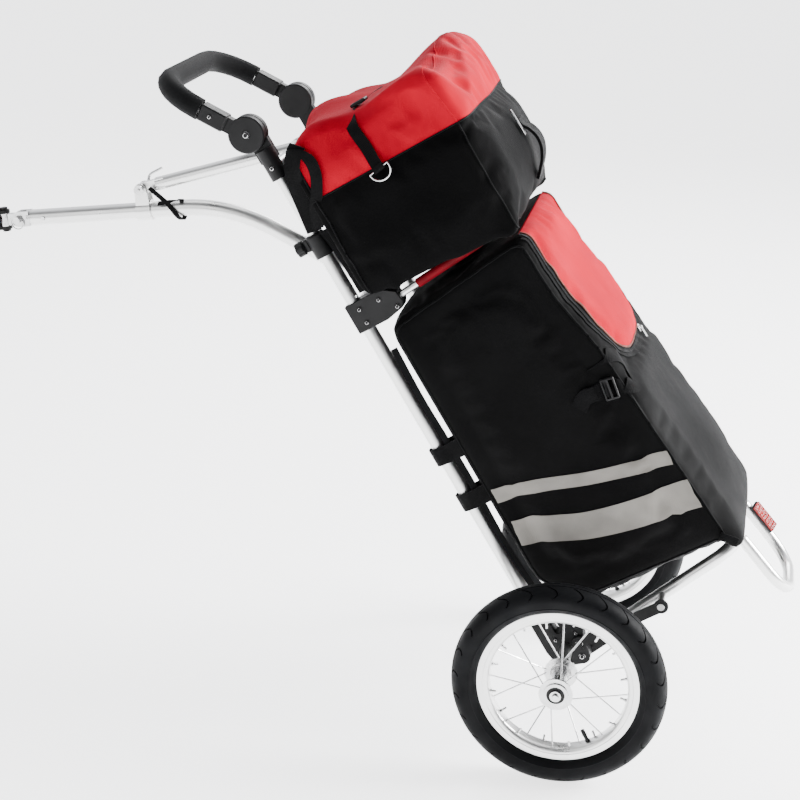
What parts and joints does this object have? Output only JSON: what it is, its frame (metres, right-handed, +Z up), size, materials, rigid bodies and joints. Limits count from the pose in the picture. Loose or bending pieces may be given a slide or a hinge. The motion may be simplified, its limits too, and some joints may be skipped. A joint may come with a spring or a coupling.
{
  "type": "bike cargo trailer",
  "caption": "Upright cargo trailer and hand cart: leaning tube frame with spoked wheels, folding platform, telescoping handle, two stacked bags and a curved towing arm with a seat-post hitch.",
  "frame": {"origin": "on the floor under the middle of the bounding box", "axes": "-X towards the bicycle along the towing arm, +Y to the trailer's right, +Z up"},
  "size_m": [1.2734, 0.5856, 0.9822],
  "materials": {
    "aluminium": "polished tube",
    "steel": "bright plated steel",
    "plastic": "black moulded nylon",
    "foam": "black foam rubber sleeve",
    "tyre": "black rubber with a knobbly tread",
    "cloth": "black woven bag cloth",
    "red_cloth": "red and black woven bag cloth",
    "reflector": "red prismatic reflector"
  },
  "bodies": {
    "frame": {"left_rail": "aluminium", "right_rail": "aluminium", "left_axle_lug": "plastic", "right_axle_lug": "plastic", "left_axle_sleeve": "aluminium", "right_axle_sleeve": "aluminium", "left_axle_pin": "steel", "right_axle_pin": "steel", "left_collar": "plastic", "right_collar": "plastic", "left_shelf_bracket": "plastic", "right_shelf_bracket": "plastic", "shelf_tube": "aluminium", "lower_cross_tube": "aluminium", "lower_bag": "cloth", "upper_bag": "red_cloth", "side_buckle": "steel"},
    "sliding_top": {"left_inner_tube": "aluminium", "right_inner_tube": "aluminium", "left_handle_socket": "plastic", "right_handle_socket": "plastic", "upper_cross_tube": "aluminium"},
    "handle": {"left_handle_arm": "plastic", "right_handle_arm": "plastic", "handle_tube": "aluminium", "handle_grip": "foam"},
    "strut": {"strut_tube": "aluminium"},
    "tow_arm": {"towing_arm": "aluminium", "arm_bracket": "aluminium", "skewer": "steel", "hitch_fork": "steel"},
    "clamp_lever": {"skewer_lever": "steel"},
    "snap_catch": {"snap_button": "steel"},
    "knuckle": {"hitch_knuckle": "steel"},
    "seat_clamp": {"seat_clamp_body": "plastic", "seat_clamp_cap": "plastic"},
    "pin": {"hitch_pin": "steel"},
    "ring": {"pull_ring": "steel"},
    "platform": {"platform_tube": "aluminium", "foot_loop": "aluminium", "reflector": "reflector", "left_platform_clip": "plastic", "right_platform_clip": "plastic"},
    "links": {"left_support_link": "plastic", "right_support_link": "plastic"},
    "d_ring": {"left_d_ring": "steel"},
    "left_wheel": {"left_tyre": "tyre", "left_rim": "aluminium", "left_spoked_hub": "steel", "left_inner_bearing": "plastic", "left_outer_bearing": "plastic"},
    "left_button": {"left_axle_button": "steel"},
    "left_knob": {"left_collar_knob": "plastic"},
    "right_wheel": {"right_tyre": "tyre", "right_rim": "aluminium", "right_spoked_hub": "steel", "right_inner_bearing": "plastic", "right_outer_bearing": "plastic"},
    "right_button": {"right_axle_button": "steel"},
    "right_knob": {"right_collar_knob": "plastic"}
  },
  "joints": [
    {"name": "left_wheel_spin", "type": "hinge", "parent": "frame", "child": "left_wheel", "pos_m": [0.31991, -0.25, 0.14999], "axis": [0, 1, 0], "continuous": true},
    {"name": "left_axle_button_press", "type": "slide", "parent": "frame", "child": "left_button", "axis": [0, 1, 0], "range_m": [0, 0.003], "stiffness_N_per_m": 500},
    {"name": "left_collar_knob_turn", "type": "hinge", "parent": "frame", "child": "left_knob", "pos_m": [-0.04205, -0.133, 0.73295], "axis": [-0.8616, 0, -0.5075], "range_deg": [0, 360]},
    {"name": "right_wheel_spin", "type": "hinge", "parent": "frame", "child": "right_wheel", "pos_m": [0.31991, 0.25, 0.14999], "axis": [0, 1, 0], "continuous": true},
    {"name": "right_axle_button_press", "type": "slide", "parent": "frame", "child": "right_button", "axis": [0, -1, 0], "range_m": [0, 0.003], "stiffness_N_per_m": 500},
    {"name": "right_collar_knob_turn", "type": "hinge", "parent": "frame", "child": "right_knob", "pos_m": [-0.04205, 0.133, 0.73295], "axis": [-0.8616, 0, -0.5075], "range_deg": [0, 360]},
    {"name": "towing_arm_fold", "type": "hinge", "parent": "frame", "child": "tow_arm", "pos_m": [0.01429, 0, 0.63731], "axis": [0, -1, 0], "range_deg": [0, 120]},
    {"name": "handle_slide", "type": "slide", "parent": "frame", "child": "sliding_top", "axis": [0.5075, 0, -0.8616], "range_m": [0, 0.0865]},
    {"name": "strut_fold", "type": "hinge", "parent": "sliding_top", "child": "strut", "pos_m": [-0.10092, 0, 0.8329], "axis": [0, -1, 0], "range_deg": [0, 66]},
    {"name": "handle_tilt", "type": "hinge", "parent": "sliding_top", "child": "handle", "pos_m": [-0.13623, 0, 0.87709], "axis": [0, -1, 0], "range_deg": [-75, 40]},
    {"name": "clamp_lever_flip", "type": "hinge", "parent": "tow_arm", "child": "clamp_lever", "pos_m": [-0.3378, 0.0249, 0.76423], "axis": [-0.9941, 0, -0.1085], "range_deg": [0, 170]},
    {"name": "snap_button_press", "type": "slide", "parent": "tow_arm", "child": "snap_catch", "axis": [0, 1, 0], "range_m": [0, 0.003], "stiffness_N_per_m": 400},
    {"name": "hitch_pitch", "type": "hinge", "parent": "tow_arm", "child": "knuckle", "pos_m": [-0.53149, 0, 0.70939], "axis": [0, 1, 0], "range_deg": [-40, 40]},
    {"name": "hitch_yaw", "type": "hinge", "parent": "knuckle", "child": "seat_clamp", "pos_m": [-0.55585, 0, 0.70674], "axis": [-0.1085, 0, 0.9941], "range_deg": [-45, 45]},
    {"name": "hitch_pin_pull", "type": "slide", "parent": "tow_arm", "child": "pin", "axis": [0, -1, 0], "range_m": [0, 0.03]},
    {"name": "pull_ring_swing", "type": "hinge", "parent": "pin", "child": "ring", "pos_m": [-0.53149, 0, 0.70939], "axis": [0, 1, 0], "range_deg": [-60, 60]},
    {"name": "platform_fold", "type": "hinge", "parent": "frame", "child": "platform", "pos_m": [0.34238, 0, 0.14002], "axis": [0, -1, 0], "range_deg": [0, 78], "deforming": ["lower_bag"]},
    {"name": "support_link_fold", "type": "hinge", "parent": "platform", "child": "links", "pos_m": [0.45084, 0, 0.23167], "axis": [0, 1, 0], "range_deg": [0, 39.1]},
    {"name": "d_ring_swing", "type": "hinge", "parent": "frame", "child": "d_ring", "pos_m": [0.05224, -0.172, 0.84478], "axis": [-0.7727, 0, -0.6347], "range_deg": [0, 90]}
  ],
  "couplings": [
    {"joint": "handle_slide", "follows": "towing_arm_fold", "m_per_rad": 0.041},
    {"joint": "strut_fold", "follows": "towing_arm_fold", "ratio": 0.548},
    {"joint": "support_link_fold", "follows": "platform_fold", "ratio": 0.5}
  ]
}
